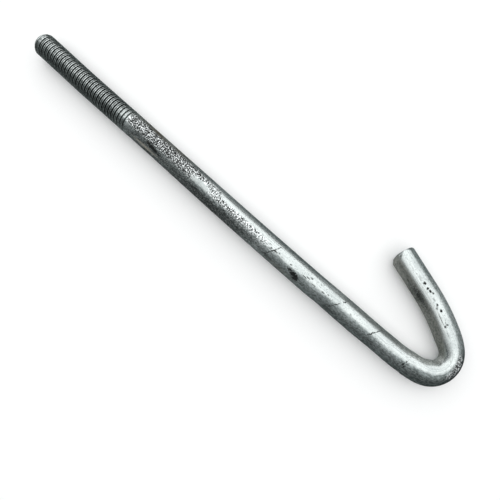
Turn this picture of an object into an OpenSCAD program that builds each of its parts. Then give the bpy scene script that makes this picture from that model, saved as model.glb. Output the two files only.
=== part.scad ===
// Hook bolt: one round galvanised steel rod with a screw thread at one end and
// a tight J hook at the other, its short leg leading back beside the shank.
// X runs from the threaded end to the hook, Y from the shank to the leg, Z up.
// The origin is the centre of the flat end face of the thread.

/* [Rod] */
// Diameter of the rod
rod_d = 6; // [4:0.5:10]
// Length from the threaded end to the outside of the hook
overall_len = 130; // [90:1:300]

/* [Thread] */
// Length of full thread, from the end face
thread_len = 31; // [10:1:45]
// How much the crests stand under the rod diameter
thread_allowance = 0.1; // [0.05:0.05:0.3]
// Length over which the last turn runs out to the rod
runout_len = 1; // [0.5:0.25:3]
// Chamfer at the threaded end
point_chamfer = 0.6; // [0.2:0.1:1]

/* [Hook] */
// Radius of the wide sweep that leads into the hook, at the rod centre
lead_r = 105; // [60:5:200]
// Angle turned by the wide sweep
lead_turn = 9; // [4:1:14]
// Inside radius at the nose of the hook
nose_inner_r = 2; // [1:0.5:8]
// Angle turned by the nose
nose_turn = 138; // [120:1:150]
// How much the tight bend draws the rod thinner at the nose
nose_thinning = 0.1; // [0.05:0.05:0.4]
// Radius of the curve at the root of the leg, at the rod centre
leg_r = 50; // [25:5:90]
// Angle turned by the root of the leg
leg_turn = 16; // [8:1:20]
// Straight length at the end of the leg
leg_len = 10.5; // [4:0.5:30]

/* [Cut end] */
// Length of the eased edge at the cut end
cut_ease_len = 0.6; // [0.2:0.1:1.5]
// Depth of the eased edge at the cut end
cut_ease_depth = 0.4; // [0.1:0.1:0.8]

/* [Hidden] */
$fn = 128;

rod_r = rod_d / 2;
thread_r = rod_r - thread_allowance / 2;
nose_rod_r = rod_r - nose_thinning / 2;
nose_r = nose_inner_r + nose_rod_r;
// How far each end of the drawn nose reaches into the full rod
nose_lap = 2;

// Heading of the rod where each bend ends, from the shank direction
lead_end = lead_turn;
nose_end = lead_end + nose_turn;
leg_end = nose_end + leg_turn;

// Point on a bend, seen from its centre, where the rod has the given heading
function on_bend(r, heading) = r * [sin(heading), -cos(heading)];

// The straight shank takes up what the bends leave of the overall length
shank_len = overall_len - nose_rod_r - nose_r - (on_bend(lead_r, lead_end) - on_bend(nose_r, lead_end)).x;

// Centres of the three bends, each tangent to the one before
lead_centre = [shank_len, lead_r];
nose_centre = lead_centre + on_bend(lead_r - nose_r, lead_end);
leg_centre = nose_centre + on_bend(nose_r - leg_r, nose_end);
leg_root = leg_centre + on_bend(leg_r, leg_end);

// Turned part along X, from pairs of distance along the axis and radius
module turned(steps, length) {
    rotate([90, 0, 90])
        rotate_extrude()
            polygon(concat([[0, 0]], [for (s = steps) [s[1], s[0]]], [[0, length]]));
}

// Bend of a round rod about a centre, between two headings
module bend(centre, r, section_r, from, to) {
    translate(centre)
        rotate_extrude(start = from - 90, angle = to - from)
            translate([r, 0])
                circle(r = section_r);
}

// Shank with its threaded end, the crests of the thread as one plain wall
module shank() {
    turned([
        [0, thread_r - point_chamfer],
        [point_chamfer, thread_r],
        [thread_len, thread_r],
        [thread_len + runout_len, rod_r],
        [shank_len, rod_r]
    ], shank_len);
}

// Leg beside the shank, its curved root and straight end laid along X
module leg() {
    bend([0, leg_r], leg_r, rod_r, -leg_turn, 0);
    turned([
        [0, rod_r],
        [leg_len - cut_ease_len, rod_r],
        [leg_len, rod_r - cut_ease_depth]
    ], leg_len);
}

module hook_bolt() {
    color("silver")
        union() {
            shank();
            bend(lead_centre, lead_r, rod_r, 0, lead_end);
            bend(nose_centre, nose_r, nose_rod_r, lead_end - nose_lap, nose_end + nose_lap);
            translate(leg_root)
                rotate([0, 0, leg_end])
                    leg();
        }
}

hook_bolt();
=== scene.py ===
import math
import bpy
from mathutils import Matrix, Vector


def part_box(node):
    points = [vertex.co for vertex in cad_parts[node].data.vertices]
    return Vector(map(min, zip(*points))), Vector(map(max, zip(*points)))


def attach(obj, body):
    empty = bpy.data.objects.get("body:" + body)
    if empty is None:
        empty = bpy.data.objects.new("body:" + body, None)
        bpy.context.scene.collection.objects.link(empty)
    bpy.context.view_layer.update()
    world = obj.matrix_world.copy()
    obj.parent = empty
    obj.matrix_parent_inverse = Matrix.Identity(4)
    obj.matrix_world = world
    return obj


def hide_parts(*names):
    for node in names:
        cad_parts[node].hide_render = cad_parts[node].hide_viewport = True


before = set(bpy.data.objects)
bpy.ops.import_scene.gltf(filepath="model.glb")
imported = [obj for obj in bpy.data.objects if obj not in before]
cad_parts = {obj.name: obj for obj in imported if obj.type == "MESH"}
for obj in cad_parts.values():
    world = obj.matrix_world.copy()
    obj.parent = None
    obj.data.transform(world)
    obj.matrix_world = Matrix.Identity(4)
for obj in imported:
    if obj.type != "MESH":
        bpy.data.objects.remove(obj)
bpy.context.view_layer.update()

from types import SimpleNamespace

import bpy
import numpy as np
from mathutils import Matrix

bl_info = {
    "name": "Hook bolt",
    "version": (1, 0, 0),
    "blender": (4, 5, 0),
    "location": "3D View > Sidebar > Hook bolt",
    "description": "Builds a galvanised hook bolt with its thread, its J hook and its worn zinc skin",
    "category": "Add Mesh",
}

MM = 0.001
NODE = "hook_bolt"
BODY = "root"
CAD_LOW, CAD_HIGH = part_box(NODE)
OVERALL_LEN = CAD_HIGH.x - CAD_LOW.x
ROD_RADIUS = -CAD_LOW.y


def mm_prop(name, text, value, low, high):
    """A length given here in millimetres, and kept in metres."""
    return bpy.props.FloatProperty(name=name, description=text, default=value * MM, min=low * MM,
                                   max=high * MM, subtype="DISTANCE", unit="LENGTH", precision=5)


def turn_prop(name, text, degrees):
    """An angle given here in degrees, and kept in radians."""
    return bpy.props.FloatProperty(name=name, description=text, default=math.radians(degrees),
                                   subtype="ANGLE", unit="ROTATION")


def share_prop(name, text, value):
    """A plain share from 0 to 1."""
    return bpy.props.FloatProperty(name=name, description=text, default=value, min=0, max=1)


def colour_prop(name, text, colour):
    """A surface colour, linear."""
    return bpy.props.FloatVectorProperty(name=name, description=text, default=colour, size=3,
                                         min=0, max=1, subtype="COLOR")


class RodSizes(bpy.types.PropertyGroup):
    """Sizes of the rod, its thread, its hook and its mesh."""

    thread_len: mm_prop("Thread length", "Length of the threaded end, with its run-out", 32, 10, 45)
    pitch: mm_prop("Pitch", "Distance from one turn of the thread to the next", 1, 0.5, 2)
    crest_drop: mm_prop("Crest drop", "How far the crest lies inside the rod's surface", 0.05, 0, 0.2)
    groove_depth: mm_prop("Groove depth", "Depth of the thread's groove below its crest", 0.46, 0.2, 0.7)
    crest_fold: mm_prop("Crest fold", "Depth of the fine fold along the crest", 0.09, 0, 0.1)
    point_chamfer: mm_prop("Point chamfer", "Chamfer of the flat end of the thread", 0.6, 0.1, 1)
    runout_len: mm_prop("Run-out length", "Length over which the groove fades into the shank", 1.2, 0.5, 4)
    lead_radius: mm_prop("Lead bend radius", "Radius of the wide sweep before the hook", 105.3, 60, 200)
    lead_turn: turn_prop("Lead bend turn", "How far the wide sweep turns", 9.08)
    nose_radius: mm_prop("Nose radius", "Radius of the tight bend, along the rod's middle", 4.93, 3, 12)
    nose_turn: turn_prop("Nose turn", "How far the tight bend turns", 138)
    leg_radius: mm_prop("Leg bend radius", "Radius of the curved root of the short leg", 51, 25, 90)
    leg_turn: turn_prop("Leg bend turn", "How far the root of the short leg turns", 16)
    leg_len: mm_prop("Leg length", "Straight length of the short leg", 10.7, 4, 30)
    bend_ease: mm_prop("Bend ease", "Length over which one bend passes into the next", 3, 0.5, 6)
    nose_squeeze: share_prop("Nose squeeze", "Share by which the tight bend thins the rod", 0.14)
    squeeze_shift: mm_prop("Squeeze shift", "How far past the nose's middle the rod is thinnest",
                           2.66, 0, 6)
    squeeze_half: mm_prop("Squeeze half length", "Distance from the thinnest place to the full rod",
                          6.46, 2, 12)
    neck_drop: mm_prop("Neck drop", "How far the neck past the thread stays below the full radius",
                       0.09, 0, 0.2)
    neck_blend: mm_prop("Neck blend", "Length over which the thread's end passes into the neck", 3, 1, 8)
    neck_len: mm_prop("Neck length", "Length over which the neck grows to the full radius", 30, 3, 60)
    tip_bend: mm_prop("Tip bend", "How far the threaded tip is bent aside", 0.24, 0, 0.5)
    tip_len: mm_prop("Tip length", "Length of the threaded tip that is bent aside", 18, 5, 40)
    die_step: mm_prop("Die step", "Height of the step that the bending die left", 0.1, 0, 0.3)
    cut_bevel_len: mm_prop("Cut bevel length", "Length of the bevel on the cut end's inner side", 1, 0.1, 2)
    cut_bevel_depth: mm_prop("Cut bevel depth", "Depth of the bevel on the cut end's inner side",
                             0.5, 0.1, 1)
    cut_round: mm_prop("Cut rounding", "Radius of the rounding on the cut end's outer side",
                       0.8, 0.1, 1)
    cut_inner_slope: turn_prop("Inner cut slope", "How far the inner half of the cut end slopes back", 16)
    cut_outer_slope: turn_prop("Outer cut slope", "How far the outer half of the cut end slopes back", 4)
    cut_lean: turn_prop("Cut lean", "How far the upper rim of the cut end leans out over the lower", 8)
    cut_reach: mm_prop("Cut reach", "Length of leg over which the cut end's slopes fade out", 3, 1, 8)
    skin_relief: mm_prop("Skin relief", "Depth of the lumps in the rough zinc", 0.03, 0, 0.1)
    pit_depth: mm_prop("Pit depth", "Depth of the deepest pits in the zinc", 0.05, 0, 0.2)
    sides: bpy.props.IntProperty(name="Sides", description="Points around the rod", default=96,
                                 min=24, max=128)
    row_step: mm_prop("Row step", "Distance between rows of points along the plain rod", 0.3, 0.1, 1)


class ZincLook(bpy.types.PropertyGroup):
    """Colours and gloss of the zinc skin."""

    zinc: colour_prop("Zinc", "The clean zinc skin", (0.655, 0.7, 0.692))
    dull: colour_prop("Dull zinc", "Zinc that has weathered darker", (0.392, 0.436, 0.436))
    bruise: colour_prop("Bruised zinc", "Dark specks, pits and cracks in the skin", (0.026, 0.028, 0.027))
    flake: colour_prop("Bright flakes", "Bright flakes, and the thread's worn crests", (0.95, 0.985, 0.99))
    # Painted side shade, standing in for the dark reflections along the sides, and its paler grain
    side_shade: colour_prop("Flank", "Duller skin on the sides and the underside", (0.092, 0.11, 0.107))
    side_shade_grain: colour_prop("Flank grain", "Paler grain in the duller skin", (0.28, 0.318, 0.318))
    # Painted shade on the inner side of the wide sweep and of the leg, and painted reflected light inside
    # the nose
    edge: colour_prop("Inner edge", "Skin on the inner side of the wide sweep", (0.38, 0.41, 0.402))
    nose_inside_light: colour_prop("Inside of the nose", "Skin inside the tight bend", (0.785, 0.823, 0.8))
    leg_inside_shading: colour_prop("Inside of the leg", "Skin on the leg's inner side", (0.358, 0.365, 0.338))
    earth: colour_prop("Brown stain", "Brown stain on the inner side", (0.14, 0.124, 0.097))
    sand: colour_prop("Beige stain", "Pale streak beside the thread", (0.51, 0.48, 0.42))
    # Painted shade on the thread and the sides; the thread's dark ticks use this colour too
    shade: colour_prop("Film", "Thin dark film on the thread and the sides", (0.048, 0.056, 0.054))
    # Dark deposit and painted shade in the thread's groove
    groove: colour_prop("Groove", "Dark residue in the thread's groove", (0.026, 0.03, 0.028))
    gloss_rough: share_prop("Smooth roughness", "Roughness of the smooth zinc", 0.24)
    worn_rough: share_prop("Worn roughness", "Roughness of the rough and dull zinc", 0.45)
    # Roughness where the painted side shade and the painted light and shade of the bends lie
    flank_rough: share_prop("Flank roughness", "Roughness of the duller skin on the sides", 0.52)


class StageLook(bpy.types.PropertyGroup):
    """Floor, lamps, world and lens."""

    floor: colour_prop("Floor", "The pale floor", (0.96, 0.96, 0.96))
    world: colour_prop("World", "The dim studio around the lamps", (0.17, 0.18, 0.18))
    lamp_radiance: bpy.props.FloatProperty(name="Lamp brightness", description="Brightness of a full panel",
                                           default=1.26, min=0, max=20)
    lens_mm: bpy.props.FloatProperty(name="Lens", description="Camera lens on a 36 mm sensor", default=27.36,
                                     min=10, max=200, unit="CAMERA")


# Step of the running sum along the rod's middle line
LINE_STEP = 0.02 * MM
# How far the middle line leans towards the leg, for each length along it
SHANK_LEAN = 0.00072
# Slow bows of this one rod: middle and half length along it, and height towards the leg, all in mm
BOWS = [(68.1, 38, -0.17), (105.3, 16.9, 0.19)]

# Across one turn of the thread, in shares of the pitch from the crest: the wall from crest to root, the edge
# of the fold along the crest, and the rows of points, closer where the surface bends
WALL = (0.23, 0.45)
FOLD = (0.05, 0.19)
THREAD_ROWS = np.array([-0.5, -0.45, -0.4, -0.35, -0.3, -0.25, -0.12, -0.06,
                        0, 0.06, 0.12, 0.25, 0.3, 0.35, 0.4, 0.45])
# Dark deposit and painted shade in the fold, where the root has 1
FOLD_RESIDUE_AND_SHADE = 0.6
# The first turns grow from this share of the full depth, over this length in mm
FIRST_DEPTH = 0.35
FIRST_LEN = 2.4
# The last turns lose this share of it, between these distances in mm before the thread's end
LAST_LOSS = 0.45
LAST_FROM = 6
LAST_TO = 2
# The point is a smooth ramp: its start in mm, its end and its height in chamfers
POINT_START = -0.4
POINT_END = 1.3
POINT_HEIGHT = 1.05
# How close in metres a point of the thread's grid must be to an end to count as on it
END_SLACK = 1e-7

# How far round the rod a side reaches: none and all of it, as shares of the radius towards that side
SIDE_REACH = (0.1, 0.8)
# Share of the cut end's rounding that runs all the way round
ROUND_ALL = 0.12
# The die's step: where in mm it rises and falls, and how far round the outer side it reaches
DIE_STEP_ALONG = (119.3, 119.7, 120, 125)
DIE_STEP_REACH = (0.2, 0.9)
# Rings near the cut end: their zone in bevel lengths, and how many they are
END_ZONE = 1.5
END_RINGS = 14
# The shares of the radius at which rings close each end
CAP_SHARES = (0.96, 0.88, 0.7, 0.45, 0.2)
# Swells of the rod: arc length and half length in mm, +1 inner or -1 outer side, height in mm
SWELLS = [
    (95, 5, -1, -0.1),
    (110.8, 7, -1, -0.2),
    (125.4, 4.2, 1, 0.29),
    (117, 4, 1, -0.1),
    (127.6, 5, -1, -0.15),
]
# How far round its side a swell reaches: none and all of it
SWELL_REACH = (0.2, 0.9)
# Lumps in the zinc: cell in mm, seed and share of each scale of noise, and the middle of their sum
LUMPS = [(0.7, 3, 1), (0.35, 7, 0.6)]
LUMPS_MIDDLE = 0.8
# Share of the lumps that smooth zinc has too
LUMPS_EVERYWHERE = 0.06
# Distances in mm before the cut end between which lumps and pits come in
SKIN_FROM = 0.3
SKIN_TO = 3

# Whole numbers that mix a lattice corner's place and the seed into one hash
HASH_X, HASH_Y, HASH_Z, HASH_SEED = 73856093, 19349663, 83492791, 2654435761
HASH_MIX = 1274126177

# Pits: arc length in mm, angle round the rod in degrees, half length in mm, half turn in degrees, strength
PITS = [
    (39.2, 111, 1.0, 9, 1.0),
    (40.3, 115, 1.3, 11, 1.0),
    (41.5, 119, 1.0, 9, 1.0),
    (42.6, 123, 0.6, 5, 0.9),
    (37.4, 108, 0.6, 4, 0.7),
    (35.4, 112, 1.1, 7, 0.6),
    (50.6, 52, 1.6, 4, 0.75),
    (54.6, 124, 1.6, 8, 0.5),
    (78.0, 93, 0.4, 4, 0.8),
    (79.3, 93, 0.5, 5, 0.9),
    (84.6, 113, 0.9, 9, 0.95),
    (85.9, 119, 1.4, 14, 1.0),
    (86.8, 129, 1.1, 16, 0.95),
    (97.2, 140, 2.2, 13, 0.45),
    (78.4, 140, 2.0, 12, 0.45),
    (109.4, 128, 1.8, 9, 0.35),
    (84.0, 92, 0.35, 4, 0.8),
    (77.2, 82, 0.5, 3, 0.6),
    (77.8, 100, 0.5, 3, 0.7),
    (80.3, 88, 0.35, 4, 0.7),
    (88.2, 93, 0.8, 3.5, 0.85),
    (89.0, 86, 0.7, 3.5, 0.8),
    (89.8, 77, 0.5, 4, 0.8),
    (91.0, 95, 0.7, 3.5, 0.65),
    (92.4, 70, 0.3, 3, 0.5),
    (93.7, 93, 0.6, 4, 0.8),
    (95.1, 86, 0.4, 4, 0.6),
    (101.9, 88, 0.3, 4, 0.5),
    (151.3, 88, 0.45, 8, 1.0),
    (149.9, 86, 0.4, 7, 1.0),
    (149.1, 89, 0.5, 6, 1.0),
    (148.4, 95, 0.35, 5, 0.9),
    (145.6, 85, 0.4, 5, 0.9),
    (144.9, 75, 0.3, 4, 0.7),
    (144.1, 88, 0.45, 7, 1.0),
    (140.4, 74, 0.45, 5, 0.9),
    (140.6, 87, 0.3, 4, 0.8),
    (140.9, 82, 0.6, 2, 0.7),
    (138.4, 72, 0.9, 1.3, 0.5),
    (142.2, 71, 2.2, 1.5, 0.75),
    (149.2, 36, 2.8, 15, 0.6),
    (152.9, 84, 0.7, 7, 0.3),
    (147.0, 84, 0.6, 5, 0.45),
    (145.3, 80, 0.5, 4, 0.5),
    (153.5, 30, 0.7, 5, 0.5),
]
# A pit's dent is wider than its dark patch, by this many mm and degrees
DENT_EXTRA_LEN = 0.15
DENT_EXTRA_TURN = 3
# Cracks: arc length in mm at the middle angle, that angle, mm of slant per degree, half turn in degrees,
# half width in mm
CRACKS = [
    (78.7, 98, 0.027, 44, 0.13),
    (97.6, 104, 0.034, 26, 0.13),
    (99.2, 58, 0.034, 12, 0.10),
    (108.3, 86, 0.034, 22, 0.14),
    (109.3, 58, 0.034, 14, 0.08),
    (117.9, 108, 0.016, 24, 0.075),
    (118.5, 112, 0.016, 16, 0.07),
    (117.2, 112, 0.016, 14, 0.04),
]

# Patches: arc length and half length in mm, angle round the rod and half turn in degrees, strength
SMOOTH_PATCHES = [(55.3, 5.5, 92, 34, 1.3)]
INSIDE_PATCHES = [(149.5, 6, 34, 24, 0.3)]
HATCHING = [(130.6, 5, 105, 27, 0.95)]
SPATTER = [
    (65, 8, 106, 40, 0.9),
    (80, 3, 96, 14, 0.8),
    (149, 7, 30, 32, 0.95),
    (42, 5, 122, 18, 0.8),
    (130.6, 5, 105, 26, 0.95),
]
BROWN_STAINS = [(41, 13, 30, 36, 1), (146, 8, 70, 6, 0.4), (83, 7, 148, 24, 0.3)]
BEIGE_STAINS = [(38.7, 6, 139, 11, 1.3)]
# Dark patches that join the painted shade on the thread and the sides
DARK_PATCHES = [(39.5, 8, 119, 12, 0.5), (39.5, 8, 162, 16, 0.5), (130.6, 5, 109, 24, 0.4)]

# Painted shade on a side, standing in for dark reflections on the thread and the sides: strengths at arc
# lengths in mm, then +1 inner or -1 outer side and how far towards it the shade starts and is full, as
# shares of the radius
SHADE_RUNS = [
    ([(0, 0.4), (31, 0.4), (36, 0.1), (44, 0.1), (50, 0.45), (66, 0.5), (74, 0)], -1, 0.2, 0.7),
    ([(0, 0.3), (31, 0.3), (36, 0.15), (50, 0)], 1, 0.45, 0.75),
]
# The same with a strength, and the arc lengths in mm where the painted shade starts, is full, fades and ends
SHADE_ZONES = [
    (0.4, (32, 35, 54, 62), -1, -0.35, 0.05),
    (0.35, (62, 72, 118, 122), -1, 0.5, 0.85),
    (0.4, (60, 68, 98, 108), 1, 0.6, 0.85),
    (0.25, (90, 98, 108, 114), -1, 0.15, 0.45),
    (0.42, (118, 123, 131, 136), -1, -0.1, 0.25),
]
# The same with a strength, and the arc length and half length in mm of a rounded hump of painted shade
SHADE_HUMPS = [
    (0.4, 60, 9, -1, 0.35, 0.75),
    (0.35, 119, 14, -1, 0.1, 0.4),
    (0.36, 64, 12, -1, 0.15, 0.5),
    (0.7, 130.3, 7, -1, 0.4, 0.75),
    (0.45, 54, 13, 1, 0.6, 0.82),
    (0.45, 149.5, 6, 1, 0.55, 0.85),
]
# Painted shade all round the thread: strengths at arc lengths in mm
SHADE_ALL_ROUND = [(0, 0.03), (31, 0.03), (34, 0)]

# Painted side shade, standing in for the dark reflections along the sides: at arc lengths in mm, how far
# towards the outer side it starts, and its strength, then the share of the radius over which it comes in
SIDE_SHADE_FROM = [(31, -0.1), (34, 0), (56, -0.05), (66, -0.17), (74, -0.09), (84, -0.09), (90, -0.18),
              (118, -0.22), (123, -0.4), (129, -0.42), (132, -0.3), (134, -0.16), (137, -0.04),
              (142, 0.02), (148, 0.1)]
SIDE_SHADE_MOST = [(56, 1), (66, 0.8), (118, 0.8), (124, 1), (132, 1), (138, 0.75)]
SIDE_SHADE_BLEND = 0.42
# Painted shade along the inner edge of the shank: its strength at arc lengths in mm
INNER_SIDE_SHADE = [(90, 0.95), (102, 0)]
# Painted light and shade inside the bends: at arc lengths in mm, how far towards the inner side it starts,
# then the share of the radius over which it comes in
INNER_SHADING_FROM = [(100, 0.4), (118, 0.36), (121, 0.46), (124, 0.58), (130, 0.7), (133, 0.68), (137, 0.52),
               (142, 0.42)]
INNER_SHADING_BLEND = 0.28
# The underside: the angles in degrees where it starts, is full, fades and ends, and how much of the painted
# shade and of the painted side shade it lacks
UNDERSIDE = (200, 235, 305, 340)
UNDER_LESS_SHADE = 0.85
UNDER_LESS_SIDE_SHADE = 0.6

# Masks that the mesh carries to the zinc as point attributes
MASKS = ("groove", "mottle", "side_shade", "hollow", "brown", "beige", "shade", "hatch", "spatter")
# Noise patterns of the zinc: scale along the rod against across it, scale, detail and roughness
PATTERNS = {
    "streaks": (0.04, 3000, 4, 0.5),
    "clouds": (0.45, 420, 3, 0.5),
    "grit": (1, 3400, 2, 0.6),
    "fine": (1, 9000, 2, 0.5),
    "ragged": (1, 2400, 2, 0.6),
    "flakes": (1, 3300, 3, 0.7),
    "grain": (0.55, 2900, 3, 0.65),
    "ticks": (0.8, 2900, 2, 0.5),
}
# How far noise moves the edge of a pit, in its own radii, and the line of a crack, in mm, then the
# strength and depth of the bump
PIT_RAGGED = 1.6
CRACK_RAGGED = 0.9
BUMP_STRENGTH = 0.6
BUMP_DISTANCE = 0.12 * MM
# Tint of the metal's reflection at grazing angles
GRAZING_TINT = (0.2, 0.22, 0.22, 1)

# Lamp panels: tilt from straight up towards +Y in degrees, width in degrees, share of full brightness,
# then how far off they stand, their length and the middle that they face, in metres
PANELS = [(-47, 22, 0.25), (-26, 20, 0.85), (4, 40, 1.0), (41, 34, 1.0), (65, 14, 1.0)]
PANEL_DISTANCE = 0.9
PANEL_LEN = 3.6
PANEL_MIDDLE = (-0.55, 0.0, 0.0)
# Half the side of the floor, in metres
FLOOR_HALF = 30
# The camera's place in mm and turn in degrees, fitted to the photo's perspective, its near limit in
# metres and the width of its sensor in mm
CAMERA_AT = (80.24, -5.92, 91.83)
CAMERA_TURN = (3.3605, 1.8673, 41.8513)
CAMERA_NEAR = 0.005
SENSOR_MM = 36


def smooth(low, high, x):
    """0 below low, 1 above high, and the cubic 3t^2 - 2t^3 between them."""
    t = np.clip((x - low) / (high - low), 0, 1)
    return t * t * (3 - 2 * t)


def plateau(start, full, fade, end, x):
    """Rises smoothly from start to full, stays 1, and falls smoothly from fade to end."""
    return smooth(start, full, x) * (1 - smooth(fade, end, x))


def bump(middle, half, x):
    """A rounded hump: the squared cosine of the distance from the middle, and 0 past half."""
    t = np.clip((x - middle) / half, -1, 1)
    return np.cos(t * math.pi / 2) ** 2


def between(knots, x):
    """Straight lines between pairs of a place and a value, level past the first and last."""
    places, values = zip(*knots)
    return np.interp(x, places, values)


def patches(rows, a, deg):
    """The sum of rounded patches, each a hump along the rod times a hump round it."""
    total = np.zeros_like(a)
    for at, half, turn, half_turn, strength in rows:
        total += strength * bump(at, half, a) * bump(turn, half_turn, deg)
    return total


def lattice_noise(points, cell, seed):
    """Value noise from 0 to 1: a hash at each corner of a cubic lattice, blended by cubic ramps."""
    p = points / cell
    base = np.floor(p).astype(np.int64)
    t = p - base
    t = t * t * (3 - 2 * t)
    total = np.zeros(p.shape[:-1])
    for corner in np.ndindex(2, 2, 2):
        at = base + np.array(corner)
        key = (at[..., 0] * HASH_X) ^ (at[..., 1] * HASH_Y) ^ (at[..., 2] * HASH_Z) ^ (seed * HASH_SEED)
        key = (key ^ (key >> 13)) * HASH_MIX
        value = ((key ^ (key >> 16)) & 0xFFFF) / 0xFFFF
        weight = np.prod(np.where(np.array(corner) == 1, t, 1 - t), axis=-1)
        total += value * weight
    return total


def shank_len(z):
    """Straight length that leaves the nose at the CAD part's overall length."""
    reach = z.lead_radius * math.sin(z.lead_turn) - z.nose_radius * math.sin(z.lead_turn) + z.nose_radius
    return OVERALL_LEN - ROD_RADIUS - reach


def rod_spans(z):
    """Lengths of the rod's middle line: shank, wide sweep, nose, root of the leg and leg."""
    return [shank_len(z), z.lead_radius * z.lead_turn, z.nose_radius * z.nose_turn,
            z.leg_radius * z.leg_turn, z.leg_len]


def middle_line(z):
    """The rod's middle line as rows of arc length, place and heading.

    The heading rises by each bend's turn in proportion to arc length and is averaged over the ease length,
    and the place is the running sum of (cos heading, sin heading). A lean, slow bows and the bent tip are
    laid across it."""
    spans = rod_spans(z)
    turns = [0, z.lead_turn, z.nose_turn, z.leg_turn, 0]
    s = np.arange(0, sum(spans) + LINE_STEP, LINE_STEP)
    heading = np.interp(s, np.cumsum([0] + spans), np.cumsum([0] + turns))
    window = max(1, int(z.bend_ease / LINE_STEP)) | 1
    padded = np.pad(heading, window // 2, mode="edge")
    heading = np.convolve(padded, np.ones(window) / window, mode="valid")
    x = np.concatenate([[0], np.cumsum(np.cos(heading[:-1]) * LINE_STEP)])
    y = np.concatenate([[0], np.cumsum(np.sin(heading[:-1]) * LINE_STEP)])
    y += SHANK_LEAN * s + z.tip_bend * (1 - smooth(0, z.tip_len, s))
    for at, half, height in BOWS:
        y += height * MM * bump(at * MM, half * MM, s)
    return s, x, y, heading


def thread_radius(z, along, angle):
    """Radius of the threaded end, and how much dark deposit and painted shade lie there, from 0 to 1.

    The crest climbs one pitch in a turn, and the depth depends on the distance from it: level on the crest,
    then a wall that runs smoothly down to the root. A fine fold lies along the crest. The first and last
    turns are shallower, the groove runs out at the end, and the point's chamfer limits the radius."""
    phase = along / z.pitch - angle / (2 * math.pi)
    off = np.abs(phase - np.round(phase))
    groove = smooth(*WALL, off)
    fold = 1 - smooth(*FOLD, off)
    end = z.thread_len
    share = 1 - LAST_LOSS * smooth(end - LAST_FROM * MM, end - LAST_TO * MM, along)
    share *= 1 - smooth(end - z.runout_len, end, along)
    share *= FIRST_DEPTH + (1 - FIRST_DEPTH) * smooth(0, FIRST_LEN * MM, along)
    crest = ROD_RADIUS - z.crest_drop
    radius = crest - (groove * z.groove_depth + fold * z.crest_fold) * share
    chamfer = 1 - smooth(POINT_START * MM, POINT_END * z.point_chamfer, along)
    point = crest - POINT_HEIGHT * z.point_chamfer * chamfer
    return np.minimum(radius, point), np.maximum(groove, FOLD_RESIDUE_AND_SHADE * fold) * share


def plain_radius(z, along, angle, total):
    """Radius of the plain rod: the full one, less the neck and the cut end, plus the die's step.

    The neck starts at the crest's radius, sinks to its own and grows to the full one. The cut end loses a
    bevel on the inner side and a quarter circle on the outer one."""
    side = np.cos(angle)
    start = z.thread_len + z.neck_blend
    neck = z.neck_drop * (1 - smooth(start, start + z.neck_len, along))
    neck += (z.crest_drop - z.neck_drop) * (1 - smooth(z.thread_len, start, along))
    left = np.maximum(total - along, 0)
    bevel = z.cut_bevel_depth * (1 - smooth(0, z.cut_bevel_len, left)) * smooth(*SIDE_REACH, side)
    into = np.clip(z.cut_round - left, 0, None)
    rounding = z.cut_round - np.sqrt(np.maximum(z.cut_round ** 2 - into ** 2, 0))
    rounding *= ROUND_ALL + (1 - ROUND_ALL) * smooth(*SIDE_REACH, -side)
    step = z.die_step * plateau(*DIE_STEP_ALONG, along / MM) * smooth(*DIE_STEP_REACH, -side)
    return ROD_RADIUS - neck - bevel - rounding + step


def mottle_on(a, deg, inner, hatch):
    """The rough, flaked zinc, as the largest of four masks.

    The first is a band from the thread to the middle of the shank, fainter further on, less its inner side
    there and a smooth patch. The others are the hatching, a patch inside the leg and the leg's back."""
    band = smooth(30.6, 32.4, a) * (1 - 0.4 * smooth(48, 60, a)) * (1 - smooth(69, 82, a))
    band *= 1 - smooth(57, 64, a) * smooth(0.1, 0.4, inner)
    band *= 1 - np.minimum(patches(SMOOTH_PATCHES, a, deg), 1)
    back = 0.35 * plateau(134, 138, 150, 155, a) * plateau(112, 130, 200, 240, deg)
    return np.maximum.reduce([band, 0.7 * hatch, patches(INSIDE_PATCHES, a, deg), back])


def side_shade_on(a, inner):
    """Painted side shade: a smooth ramp towards the outer side, or a narrow edge on the shank's inner side.
    """
    most = between(SIDE_SHADE_MOST, a)
    most += (1 - most) * smooth(0.45, 0.75, -inner)
    start = between(SIDE_SHADE_FROM, a)
    outer = most * smooth(start, start + SIDE_SHADE_BLEND, -inner)
    return np.maximum(outer, smooth(0.56, 0.8, inner) * between(INNER_SIDE_SHADE, a))


def shade_on(a, deg, inner):
    """Painted shade on the thread and the sides, with a few dark patches: the sum of its runs, zones, humps
    and patches.
    """
    shade = between(SHADE_ALL_ROUND, a) + patches(DARK_PATCHES, a, deg)
    shade += 0.35 * bump(72, 9, a) * bump(-0.5, 0.4, inner)
    for knots, way, low, high in SHADE_RUNS:
        shade += between(knots, a) * smooth(low, high, way * inner)
    for strength, zone, way, low, high in SHADE_ZONES:
        shade += strength * plateau(*zone, a) * smooth(low, high, way * inner)
    for strength, at, half, way, low, high in SHADE_HUMPS:
        shade += strength * bump(at, half, a) * smooth(low, high, way * inner)
    return shade


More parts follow.
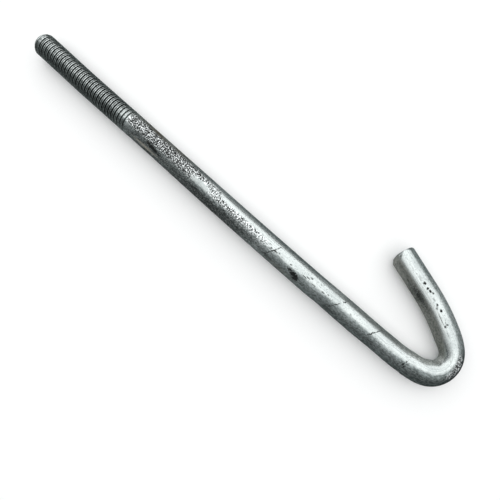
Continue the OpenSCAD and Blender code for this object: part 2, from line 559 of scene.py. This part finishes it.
def marks_on(along, angle):
    """All masks of the zinc apart from the groove, by name, for points at an arc length and angle.

    The painted light and shade inside the bends comes in as a smooth ramp towards the inner side. The
    underside has less of both painted shades than the rest."""
    a = along / MM
    deg = np.degrees(angle)
    inner = np.cos(angle)
    hatch = patches(HATCHING, a, deg)
    under = plateau(*UNDERSIDE, deg)
    inner_shading_from = between(INNER_SHADING_FROM, a)
    return {
        "mottle": mottle_on(a, deg, inner, hatch),
        "side_shade": side_shade_on(a, inner) * (1 - UNDER_LESS_SIDE_SHADE * under),
        "hollow": smooth(92, 102, a) * smooth(inner_shading_from, inner_shading_from + INNER_SHADING_BLEND, inner),
        "brown": patches(BROWN_STAINS, a, deg),
        "beige": np.minimum(patches(BEIGE_STAINS, a, deg), 1),
        "shade": shade_on(a, deg, inner) * (1 - UNDER_LESS_SHADE * under),
        "hatch": hatch,
        "spatter": patches(SPATTER, a, deg),
    }


def dents_on(along, angle):
    """Depth of the pits from 0 to 1: each is an ellipse in arc length and angle with a smooth edge."""
    a = along / MM
    deg = np.degrees(angle)
    dent = np.zeros_like(a)
    for at, turn, half_len, half_turn, strength in PITS:
        off_along = (a - at) / (half_len + DENT_EXTRA_LEN)
        off_turn = (deg - turn) / (half_turn + DENT_EXTRA_TURN)
        reach = np.sqrt(off_along ** 2 + off_turn ** 2)
        dent = np.maximum(dent, strength * (1 - smooth(0.3, 1.2, reach)))
    return dent


def skin_height(z, along, angle, straight, mottle, total):
    """Height of the zinc over the plain rod: lumps where it is rough, less the pits, plus the swells."""
    lumps = sum(share * lattice_noise(straight, cell * MM, seed) for cell, seed, share in LUMPS)
    height = z.skin_relief * (lumps - LUMPS_MIDDLE) * (mottle + LUMPS_EVERYWHERE)
    height -= z.pit_depth * dents_on(along, angle)
    height *= (along > z.thread_len) * smooth(SKIN_FROM * MM, SKIN_TO * MM, total - along)
    for at, half, way, swell in SWELLS:
        height += swell * MM * bump(at, half, along / MM) * smooth(*SWELL_REACH, way * np.cos(angle))
    return height


def place_on_rod(z, line, along, radius, angle):
    """A point at an arc length, radius and angle: middle line + radius (cos angle * side + sin angle * up).

    The nose is squeezed towards its middle line by a hump. Near the cut end the point is also moved along
    the rod, so that the end face slopes back on both sides of its middle and leans out at the top."""
    s, x, y, heading = line
    at_x = np.interp(along, s, x)
    at_y = np.interp(along, s, y)
    h = np.interp(along, s, heading)
    shank, lead, nose = rod_spans(z)[:3]
    thinnest = shank + lead + nose / 2 + z.squeeze_shift
    side = radius * np.cos(angle) * (1 - z.nose_squeeze * bump(thinnest, z.squeeze_half, along))
    up = radius * np.sin(angle)
    back = math.tan(z.cut_inner_slope) * np.maximum(side, 0)
    back += math.tan(z.cut_outer_slope) * np.maximum(-side, 0)
    shift = (math.tan(z.cut_lean) * up - back) * (1 - smooth(0, z.cut_reach, s[-1] - along))
    return np.stack([at_x - side * np.sin(h) + shift * np.cos(h),
                     at_y + side * np.cos(h) + shift * np.sin(h),
                     up], axis=-1)


def strip_faces(rows):
    """Triangles between neighbouring rows of point numbers, less those that have shrunk to a line."""
    a, b = rows[:-1, :-1].ravel(), rows[1:, :-1].ravel()
    c, d = rows[1:, 1:].ravel(), rows[:-1, 1:].ravel()
    tris = np.concatenate([np.stack([a, d, c], 1), np.stack([a, c, b], 1)])
    ok = (tris[:, 0] != tris[:, 1]) & (tris[:, 1] != tris[:, 2]) & (tris[:, 0] != tris[:, 2])
    return tris[ok]


class RodGrid:
    """The rod's points as arc length, angle and share of the radius, and the triangles between them."""

    def __init__(self, sides):
        self.angle = np.arange(sides) * 2 * math.pi / sides
        self.points = []
        self.faces = []
        self.count = 0

    def add(self, along, angle, share):
        """Adds points and returns their numbers."""
        part = [np.ravel(values) for values in np.broadcast_arrays(along, angle, share)]
        self.points.append(part)
        first = self.count
        self.count += len(part[0])
        return np.arange(first, self.count)

    def ring(self, along, share=1):
        """Adds one ring of points and returns their numbers."""
        return self.add(along, self.angle, share)

    def join(self, last, now):
        """Triangles round the rod between two rings."""
        rows = np.vstack([last, now])
        self.faces.append(strip_faces(np.hstack([rows, rows[:, :1]])))

    def cap(self, rim, along, outwards):
        """Closes a rim with smaller rings and a fan of triangles round one point in the middle."""
        last = rim
        for share in CAP_SHARES:
            now = self.ring(along, share)
            first, second = (last, now) if outwards else (now, last)
            self.join(first, second)
            last = now
        hub = np.full(len(rim), self.add(along, 0.0, 0)[0])
        after = np.roll(last, -1)
        fan = (last, after, hub) if outwards else (after, last, hub)
        self.faces.append(np.stack(fan, axis=1))

    def arrays(self):
        """Arc lengths, angles, shares and triangles as whole arrays."""
        along, angle, share = (np.concatenate(values) for values in zip(*self.points))
        return along, angle, share, np.concatenate(self.faces)


def add_thread(z, grid):
    """Adds the threaded end to the grid, and returns the rings at its two ends.

    The rows climb with the helix, so each crest is one clean line: arc length is the row's start plus pitch
    times angle over a full turn. Points that fall past an end of the thread become the ring there, and the
    last column joins the first one a whole turn further on."""
    tip = grid.ring(0.0)
    end = grid.ring(z.thread_len)
    turns = int(round(z.thread_len / z.pitch))
    start = ((np.arange(-1, turns + 1)[:, None] + THREAD_ROWS[None, :]) * z.pitch).ravel()
    along = start[:, None] + z.pitch * grid.angle[None, :] / (2 * math.pi)
    number = grid.add(along, grid.angle[None, :], 1).reshape(along.shape)
    number = np.where(along <= END_SLACK, tip, number)
    number = np.where(along >= z.thread_len - END_SLACK, end, number)
    wrapped = np.roll(number[:, :1], -len(THREAD_ROWS), axis=0)
    wrapped[-len(THREAD_ROWS):] = end[0]
    grid.faces.append(strip_faces(np.hstack([number, wrapped])))
    return tip, end


def plain_rows(z, total):
    """Arc lengths of the plain rings: evenly spaced, then closer ones in the zone before the cut end.

    There they are the total length - zone x cos t, for even steps of t through a quarter turn."""
    end_zone = END_ZONE * z.cut_bevel_len
    body = np.arange(z.thread_len + z.row_step, total - end_zone, z.row_step)
    end = total - end_zone * np.cos(np.linspace(0, math.pi / 2, END_RINGS))
    return np.concatenate([body, end[1:]])


def rod_grid(z):
    """The whole skin: the threaded end, plain rings up to the cut end, and a cap at each end."""
    grid = RodGrid(z.sides)
    total = sum(rod_spans(z))
    tip, last = add_thread(z, grid)
    for along in plain_rows(z, total):
        now = grid.ring(along)
        grid.join(last, now)
        last = now
    grid.cap(tip, 0.0, False)
    grid.cap(last, total, True)
    return grid.arrays()


def build_rod(z):
    """Builds the rod's mesh object, with its straightened coordinates and its masks as point attributes."""
    along, angle, share, faces = rod_grid(z)
    total = sum(rod_spans(z))
    in_thread = along <= z.thread_len
    # The groove's mask: dark deposit and painted shade in the groove and the fold
    threaded, residue_and_shade = thread_radius(z, along, angle)
    masks = {"groove": residue_and_shade * in_thread, **marks_on(along, angle)}
    across = ROD_RADIUS * share
    straight = np.stack([along, across * np.cos(angle), across * np.sin(angle)], axis=-1)
    radius = np.where(in_thread, threaded, plain_radius(z, along, angle, total))
    radius += skin_height(z, along, angle, straight, masks["mottle"], total)
    points = place_on_rod(z, middle_line(z), along, radius * share, angle)
    used = np.unique(faces)
    renumber = np.full(len(points), -1)
    renumber[used] = np.arange(len(used))
    mesh = bpy.data.meshes.new("hook_bolt_skin")
    mesh.from_pydata(points[used].tolist(), [], renumber[faces].tolist())
    rod = mesh.attributes.new("rod", "FLOAT_VECTOR", "POINT")
    rod.data.foreach_set("vector", straight[used].astype(np.float32).ravel())
    for name in MASKS:
        attribute = mesh.attributes.new(name, "FLOAT", "POINT")
        attribute.data.foreach_set("value", masks[name][used].astype(np.float32))
    mesh.polygons.foreach_set("use_smooth", np.ones(len(mesh.polygons), dtype=bool))
    mesh.update()
    piece = bpy.data.objects.new("hook_bolt_skin", mesh)
    bpy.context.scene.collection.objects.link(piece)
    return piece


class Nodes:
    """A short way to lay out a node tree."""

    def __init__(self, tree):
        self.tree = tree

    def add(self, kind, sets=None, **inputs):
        """Adds a node, sets its fields, and sets or links its inputs.

        An input is named with _ for each space, or i0, i1 and so on for its number."""
        node = self.tree.nodes.new(kind)
        for field, value in (sets or {}).items():
            setattr(node, field, value)
        for name, value in inputs.items():
            numbered = name[0] == "i" and name[1:].isdigit()
            self.feed(node.inputs[int(name[1:]) if numbered else name.replace("_", " ")], value)
        return node

    def feed(self, socket, value):
        """Links another socket to a socket, or sets it to a plain value."""
        if isinstance(value, bpy.types.NodeSocket):
            self.tree.links.new(value, socket)
        else:
            socket.default_value = value

    def attribute(self, name, output):
        """One output of a point attribute: its Vector, or its value as Fac."""
        node = self.add("ShaderNodeAttribute", {"attribute_type": "GEOMETRY", "attribute_name": name})
        return node.outputs[output]

    def maths(self, operation, a, b=0.0, clamp=False):
        """One operation on two values."""
        fields = {"operation": operation, "use_clamp": clamp}
        return self.add("ShaderNodeMath", fields, i0=a, i1=b).outputs[0]

    def plus(self, a, b, clamp=False):
        """The sum of two values."""
        return self.maths("ADD", a, b, clamp)

    def minus(self, a, b):
        """The difference of two values."""
        return self.maths("SUBTRACT", a, b)

    def times(self, a, b, clamp=False):
        """The product of two values."""
        return self.maths("MULTIPLY", a, b, clamp)

    def most(self, a, b):
        """The larger of two values."""
        return self.maths("MAXIMUM", a, b)

    def ramp(self, value, low, high, to_low=0.0, to_high=1.0):
        """A smooth ramp of a value from one range to another."""
        node = self.add("ShaderNodeMapRange", {"interpolation_type": "SMOOTHSTEP"}, Value=value)
        node.inputs["From Min"].default_value = low
        node.inputs["From Max"].default_value = high
        node.inputs["To Min"].default_value = to_low
        node.inputs["To Max"].default_value = to_high
        return node.outputs["Result"]

    def blend(self, factor, a, b):
        """Colour a where the factor is 0, colour b where it is 1."""
        node = self.add("ShaderNodeMix", {"data_type": "RGBA", "clamp_factor": True}, i0=factor)
        for colour, socket in ((a, node.inputs[6]), (b, node.inputs[7])):
            self.feed(socket, colour if isinstance(colour, bpy.types.NodeSocket) else (*colour, 1))
        return node.outputs[2]

    def noise(self, at, scale, detail, rough):
        """Fractal noise, as its value from 0 to 1."""
        return self.add("ShaderNodeTexNoise", {"noise_dimensions": "3D"}, Vector=at, Scale=scale,
                        Detail=detail, Roughness=rough).outputs["Fac"]

    def stretch(self, at, scale):
        """Coordinates with each axis times a number."""
        return self.add("ShaderNodeVectorMath", {"operation": "MULTIPLY"}, i0=at, i1=scale).outputs[0]


def mask_group(name, inputs, build):
    """A node group with value inputs and one value output, Mask, that build lays out."""
    group = bpy.data.node_groups.new(name, "ShaderNodeTree")
    for label in inputs:
        group.interface.new_socket(label, in_out="INPUT", socket_type="NodeSocketFloat")
    group.interface.new_socket("Mask", in_out="OUTPUT", socket_type="NodeSocketFloat")
    n = Nodes(group)
    given = n.add("NodeGroupInput")
    out = n.add("NodeGroupOutput")
    group.links.new(build(n, {label: given.outputs[label] for label in inputs}), out.inputs["Mask"])
    return group


def pit_group():
    """A small ragged patch: 1 inside an ellipse in arc length and angle, its edge moved by noise."""
    def build(n, g):
        off_along = n.maths("DIVIDE", n.minus(g["Along"], g["At"]), g["Half Length"])
        off_turn = n.maths("DIVIDE", n.minus(g["Angle"], g["Turn"]), g["Half Turn"])
        reach = n.maths("SQRT", n.plus(n.times(off_along, off_along), n.times(off_turn, off_turn)))
        reach = n.plus(reach, n.times(n.minus(g["Ragged"], 0.5), PIT_RAGGED))
        return n.times(n.ramp(reach, 0.55, 1.05, 1.0, 0.0), g["Strength"])
    inputs = ("Along", "Angle", "Ragged", "At", "Turn", "Half Length", "Half Turn", "Strength")
    return mask_group("pit", inputs, build)


def crack_group():
    """A slanted hairline: 1 near the line at - slant x (angle - turn), moved by noise, faded at its ends."""
    def build(n, g):
        past = n.minus(g["Angle"], g["Turn"])
        line = n.minus(g["At"], n.times(past, g["Slant"]))
        moved = n.plus(n.minus(g["Along"], line), n.times(n.minus(g["Ragged"], 0.5), CRACK_RAGGED))
        off = n.maths("DIVIDE", n.maths("ABSOLUTE", moved), g["Width"])
        reach = n.maths("DIVIDE", n.maths("ABSOLUTE", past), g["Half Turn"])
        return n.times(n.ramp(off, 0.5, 1.3, 1.0, 0.0), n.ramp(reach, 0.75, 1.05, 1.0, 0.0))
    inputs = ("Along", "Angle", "Ragged", "At", "Turn", "Slant", "Half Turn", "Width")
    return mask_group("crack", inputs, build)


def marks_mask(n, s):
    """The strongest of all pits and cracks at a place on the rod."""
    pit, crack = pit_group(), crack_group()
    marks = []
    for at, turn, half_len, half_turn, strength in PITS:
        marks.append(n.add("ShaderNodeGroup", {"node_tree": pit}, Along=s.along, Angle=s.angle,
                           Ragged=s.ragged, At=at, Turn=turn, Half_Length=half_len,
                           Half_Turn=half_turn, Strength=strength).outputs[0])
    for at, turn, slant, half_turn, width in CRACKS:
        marks.append(n.add("ShaderNodeGroup", {"node_tree": crack}, Along=s.along, Angle=s.angle,
                           Ragged=s.ragged, At=at, Turn=turn, Slant=slant,
                           Half_Turn=half_turn, Width=width).outputs[0])
    mask = marks[0]
    for mark in marks[1:]:
        mask = n.most(mask, mark)
    return mask


def skin_values(n):
    """What the zinc is made from: masks, noise patterns, and the place on the straightened rod."""
    rod = n.attribute("rod", "Vector")
    s = SimpleNamespace(**{name: n.attribute(name, "Fac") for name in MASKS})
    for name, (lengthwise, scale, detail, rough) in PATTERNS.items():
        setattr(s, name, n.noise(n.stretch(rod, (lengthwise, 1, 1)), scale, detail, rough))
    axes = n.add("ShaderNodeSeparateXYZ", i0=rod)
    s.along = n.times(axes.outputs[0], 1 / MM)
    s.angle = n.times(n.maths("ARCTAN2", axes.outputs[2], axes.outputs[1]), 180 / math.pi)
    s.threaded = n.ramp(s.along, 32, 30.5)
    # The painted side shade's border wanders with the clouds and the grain
    wander = n.minus(n.times(s.clouds, 0.3), n.times(s.grain, 0.32))
    s.side_shade = n.ramp(n.plus(s.side_shade, n.plus(wander, 0.01)), 0.12, 0.95)
    s.dullness = n.plus(n.ramp(s.clouds, 0.45, 0.75, 0.0, 0.5), n.times(s.mottle, 0.3), True)
    return s


def flake_masks(n, s):
    """The dark and the bright marks: specks, dust, pits and cracks, and the flakes between them."""
    rough_zone = n.times(n.ramp(s.mottle, 0.02, 0.4), n.ramp(s.side_shade, 0.35, 1.0, 1.0, 0.3))
    rough_zone = n.most(rough_zone, n.ramp(s.hatch, 0.15, 0.5))
    specks = n.times(n.ramp(n.plus(s.flakes, n.times(s.mottle, 0.12)), 0.555, 0.605), rough_zone)
    specks = n.most(specks, n.times(n.ramp(s.ragged, 0.54, 0.59), s.spatter))
    dust = n.times(n.ramp(s.flakes, 0.56, 0.66, 0.0, 0.45), n.ramp(s.along, 60, 74))
    dark = n.most(n.most(marks_mask(n, s), specks), dust)
    bright = n.times(n.ramp(s.flakes, 0.5, 0.43), rough_zone)
    bright = n.times(bright, n.ramp(s.shade, 0.0, 0.5, 0.9, 0.45))
    bright = n.most(bright, n.times(n.ramp(s.ragged, 0.47, 0.42), n.ramp(s.hatch, 0.2, 0.6)))
    return dark, bright


def inner_shading_colour(n, s, look):
    """Painted light and shade on the inner side, from the wide sweep through the nose to the leg, with
    darker grain in the side shade's colour.
    """
    colour = n.blend(n.ramp(s.along, 112, 122), look.edge, look.nose_inside_light)
    colour = n.blend(n.ramp(s.along, 127, 134), colour, look.leg_inside_shading)
    return n.blend(n.ramp(s.grain, 0.42, 0.6, 0.5, 0.0), colour, look.side_shade)


def zinc_colour(n, s, look, dark, bright):
    """Base colour, laid on in order: zinc, streaks, worn crests, painted side shade, painted light and shade
    inside the bends, painted shade on the thread and the sides, flakes, stains, dark marks, ticks in the
    thread, and dark deposit with painted shade in the thread's groove."""
    colour = n.blend(s.dullness, look.zinc, look.dull)
    colour = n.blend(n.ramp(s.streaks, 0.48, 0.68, 0.0, 0.45), colour, look.dull)
    crest = n.times(n.ramp(s.along, 30, 24), n.ramp(s.groove, 0.15, 0.02, 0.0, 0.7))
    colour = n.blend(crest, colour, look.flake)
    # Painted side shade, standing in for the dark reflections along the sides
    side_shade = n.blend(n.ramp(s.grain, 0.36, 0.64), look.side_shade, look.side_shade_grain)
    colour = n.blend(n.times(s.side_shade, 0.9), colour, side_shade)
    # Painted light and shade inside the bends
    colour = n.blend(s.hollow, colour, inner_shading_colour(n, s, look))
    # Painted shade on the thread and the sides
    colour = n.blend(n.times(s.shade, n.ramp(s.grain, 0.38, 0.62, 1.16, 0.8), True), colour, look.shade)
    colour = n.blend(bright, colour, look.flake)
    colour = n.blend(n.times(s.brown, n.ramp(s.clouds, 0.3, 0.6, 0.4, 1.0)), colour, look.earth)
    colour = n.blend(n.times(s.beige, n.ramp(s.ragged, 0.4, 0.58, 1.0, 0.45)), colour, look.sand)
    colour = n.blend(dark, colour, look.bruise)
    colour = n.blend(n.times(s.threaded, n.ramp(s.ticks, 0.47, 0.6, 0.0, 0.6)), colour, look.shade)
    # Dark deposit and painted shade in the thread's groove
    return n.blend(n.ramp(s.groove, 0.18, 0.55), colour, look.groove)


def zinc_roughness(n, s, look, dark, bright):
    """Roughness: smooth to worn with the dullness, more on dark marks, bright hatching, and where the
    painted side shade and the painted light and shade of the bends lie.
    """
    worn = n.ramp(s.dullness, 0.0, 1.0, look.gloss_rough, look.worn_rough)
    rough = n.plus(worn, n.times(dark, 0.2), True)
    rough = n.most(rough, n.times(n.times(bright, s.hatch), 0.9))
    return n.most(rough, n.times(n.most(s.side_shade, s.hollow), look.flank_rough))


def zinc_height(n, s, dark):
    """Bump height: grit where the zinc is rough, faint streaks, ticks, grain where the painted side shade
    and the painted light and shade of the bends lie, sunk marks.
    """
    height = n.times(n.minus(s.grit, 0.5), n.ramp(s.mottle, 0.0, 1.0, 0.05, 1.3))
    ticks = n.times(s.ticks, s.threaded)
    grain = n.times(s.grain, n.most(s.side_shade, s.hollow))
    for part, share in ((s.streaks, 0.05), (s.fine, 0.03), (ticks, 0.5), (grain, 0.5), (dark, -0.4)):
        height = n.plus(height, n.times(part, share))
    return height


def zinc_material(look):
    """Galvanised zinc: clean and dull patches, streaks, flakes, pits, cracks, stains, dark grooves with
    painted shade, and painted shade and light on the sides and inside the bends.
    """
    material = bpy.data.materials.new("galvanised_zinc")
    material.use_nodes = True
    tree = material.node_tree
    tree.nodes.clear()
    n = Nodes(tree)
    s = skin_values(n)
    dark, bright = flake_masks(n, s)
    bumps = n.add("ShaderNodeBump", Strength=BUMP_STRENGTH, Distance=BUMP_DISTANCE,
                  Height=zinc_height(n, s, dark))
    shader = n.add("ShaderNodeBsdfPrincipled", Base_Color=zinc_colour(n, s, look, dark, bright),
                   Roughness=zinc_roughness(n, s, look, dark, bright), Normal=bumps.outputs[0])
    shader.inputs["Metallic"].default_value = 1.0
    shader.inputs["Specular Tint"].default_value = GRAZING_TINT
    out = n.add("ShaderNodeOutputMaterial")
    tree.links.new(shader.outputs[0], out.inputs["Surface"])
    return material


def add_panel(number, tilt, width, radiance):
    """A long lamp panel parallel to the shank, its face towards the bolt."""
    angle = math.radians(tilt)
    lamp = bpy.data.lights.new(f"panel_{number}", "AREA")
    lamp.shape = "RECTANGLE"
    lamp.size = 2 * PANEL_DISTANCE * math.tan(math.radians(width / 2))
    lamp.size_y = PANEL_LEN
    lamp.energy = radiance * math.pi * lamp.size * lamp.size_y
    panel = bpy.data.objects.new(f"panel_{number}", lamp)
    x, y, z = PANEL_MIDDLE
    panel.location = (x, y + PANEL_DISTANCE * math.sin(angle), z + PANEL_DISTANCE * math.cos(angle))
    turn = Matrix.Rotation(-angle, 4, "X") @ Matrix.Rotation(math.pi / 2, 4, "Z")
    panel.rotation_euler = turn.to_euler()
    bpy.context.scene.collection.objects.link(panel)


def add_floor(look):
    """The pale floor under the bolt, wide enough to meet the horizon."""
    half, z = FLOOR_HALF, CAD_LOW.z
    mesh = bpy.data.meshes.new("floor")
    corners = [(-half, -half, z), (half, -half, z), (half, half, z), (-half, half, z)]
    mesh.from_pydata(corners, [], [(0, 1, 2, 3)])
    material = bpy.data.materials.new("floor_paper")
    material.use_nodes = True
    shader = material.node_tree.nodes["Principled BSDF"]
    shader.inputs["Base Color"].default_value = (*look.floor, 1)
    shader.inputs["Roughness"].default_value = 1
    shader.inputs["Specular IOR Level"].default_value = 0
    mesh.materials.append(material)
    floor = bpy.data.objects.new("floor", mesh)
    bpy.context.scene.collection.objects.link(floor)


def add_camera(look):
    """The camera, close above the bolt and almost straight down, the shank running down to the right."""
    lens = bpy.data.cameras.new("camera")
    lens.lens = look.lens_mm
    lens.sensor_width = SENSOR_MM
    lens.clip_start = CAMERA_NEAR
    camera = bpy.data.objects.new("camera", lens)
    camera.location = tuple(v * MM for v in CAMERA_AT)
    camera.rotation_euler = tuple(math.radians(v) for v in CAMERA_TURN)
    bpy.context.scene.collection.objects.link(camera)
    bpy.context.scene.camera = camera


class HOOKBOLT_OT_rod(bpy.types.Operator):
    """Build the hook bolt from one rod, with its thread, its hook and its zinc skin"""

    bl_idname = "hookbolt.rod"
    bl_label = "Build hook bolt"

    def execute(self, context):
        piece = build_rod(context.scene.hookbolt_sizes)
        piece.data.materials.append(zinc_material(context.scene.hookbolt_look))
        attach(piece, BODY)
        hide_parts(NODE)
        return {"FINISHED"}


class HOOKBOLT_OT_stage(bpy.types.Operator):
    """Set the camera, the pale floor, the lamp panels and the dim studio around them"""

    bl_idname = "hookbolt.stage"
    bl_label = "Set the stage"

    def execute(self, context):
        look = context.scene.hookbolt_stage
        add_camera(look)
        add_floor(look)
        for number, (tilt, width, share) in enumerate(PANELS):
            add_panel(number, tilt, width, look.lamp_radiance * share)
        world = bpy.data.worlds.new("studio")
        world.use_nodes = True
        world.node_tree.nodes["Background"].inputs["Color"].default_value = (*look.world, 1)
        context.scene.world = world
        context.scene.view_settings.view_transform = "Standard"
        return {"FINISHED"}


class HOOKBOLT_PT_panel(bpy.types.Panel):
    """Lists the hook bolt's tools, sizes and colours"""

    bl_idname = "HOOKBOLT_PT_panel"
    bl_label = "Hook bolt"
    bl_space_type = "VIEW_3D"
    bl_region_type = "UI"
    bl_category = "Hook bolt"

    def draw(self, context):
        for tool in TOOLS:
            self.layout.operator(tool.bl_idname)
        for settings in GROUPS:
            group = getattr(context.scene, settings)
            box = self.layout.box()
            for name in group.__annotations__:
                box.prop(group, name)


GROUPS = {"hookbolt_sizes": RodSizes, "hookbolt_look": ZincLook, "hookbolt_stage": StageLook}
TOOLS = (HOOKBOLT_OT_stage, HOOKBOLT_OT_rod)


def register():
    """Registers the classes and hangs the settings on the scene."""
    for cls in (*GROUPS.values(), *TOOLS, HOOKBOLT_PT_panel):
        bpy.utils.register_class(cls)
    for name, group in GROUPS.items():
        setattr(bpy.types.Scene, name, bpy.props.PointerProperty(type=group))


def unregister():
    """Takes the settings and the classes out again."""
    for name in GROUPS:
        delattr(bpy.types.Scene, name)
    for cls in reversed((*GROUPS.values(), *TOOLS, HOOKBOLT_PT_panel)):
        bpy.utils.unregister_class(cls)


def main():
    """Sets the stage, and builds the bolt."""
    register()
    bpy.ops.hookbolt.stage()
    bpy.ops.hookbolt.rod()


if __name__ == "__main__":
    main()
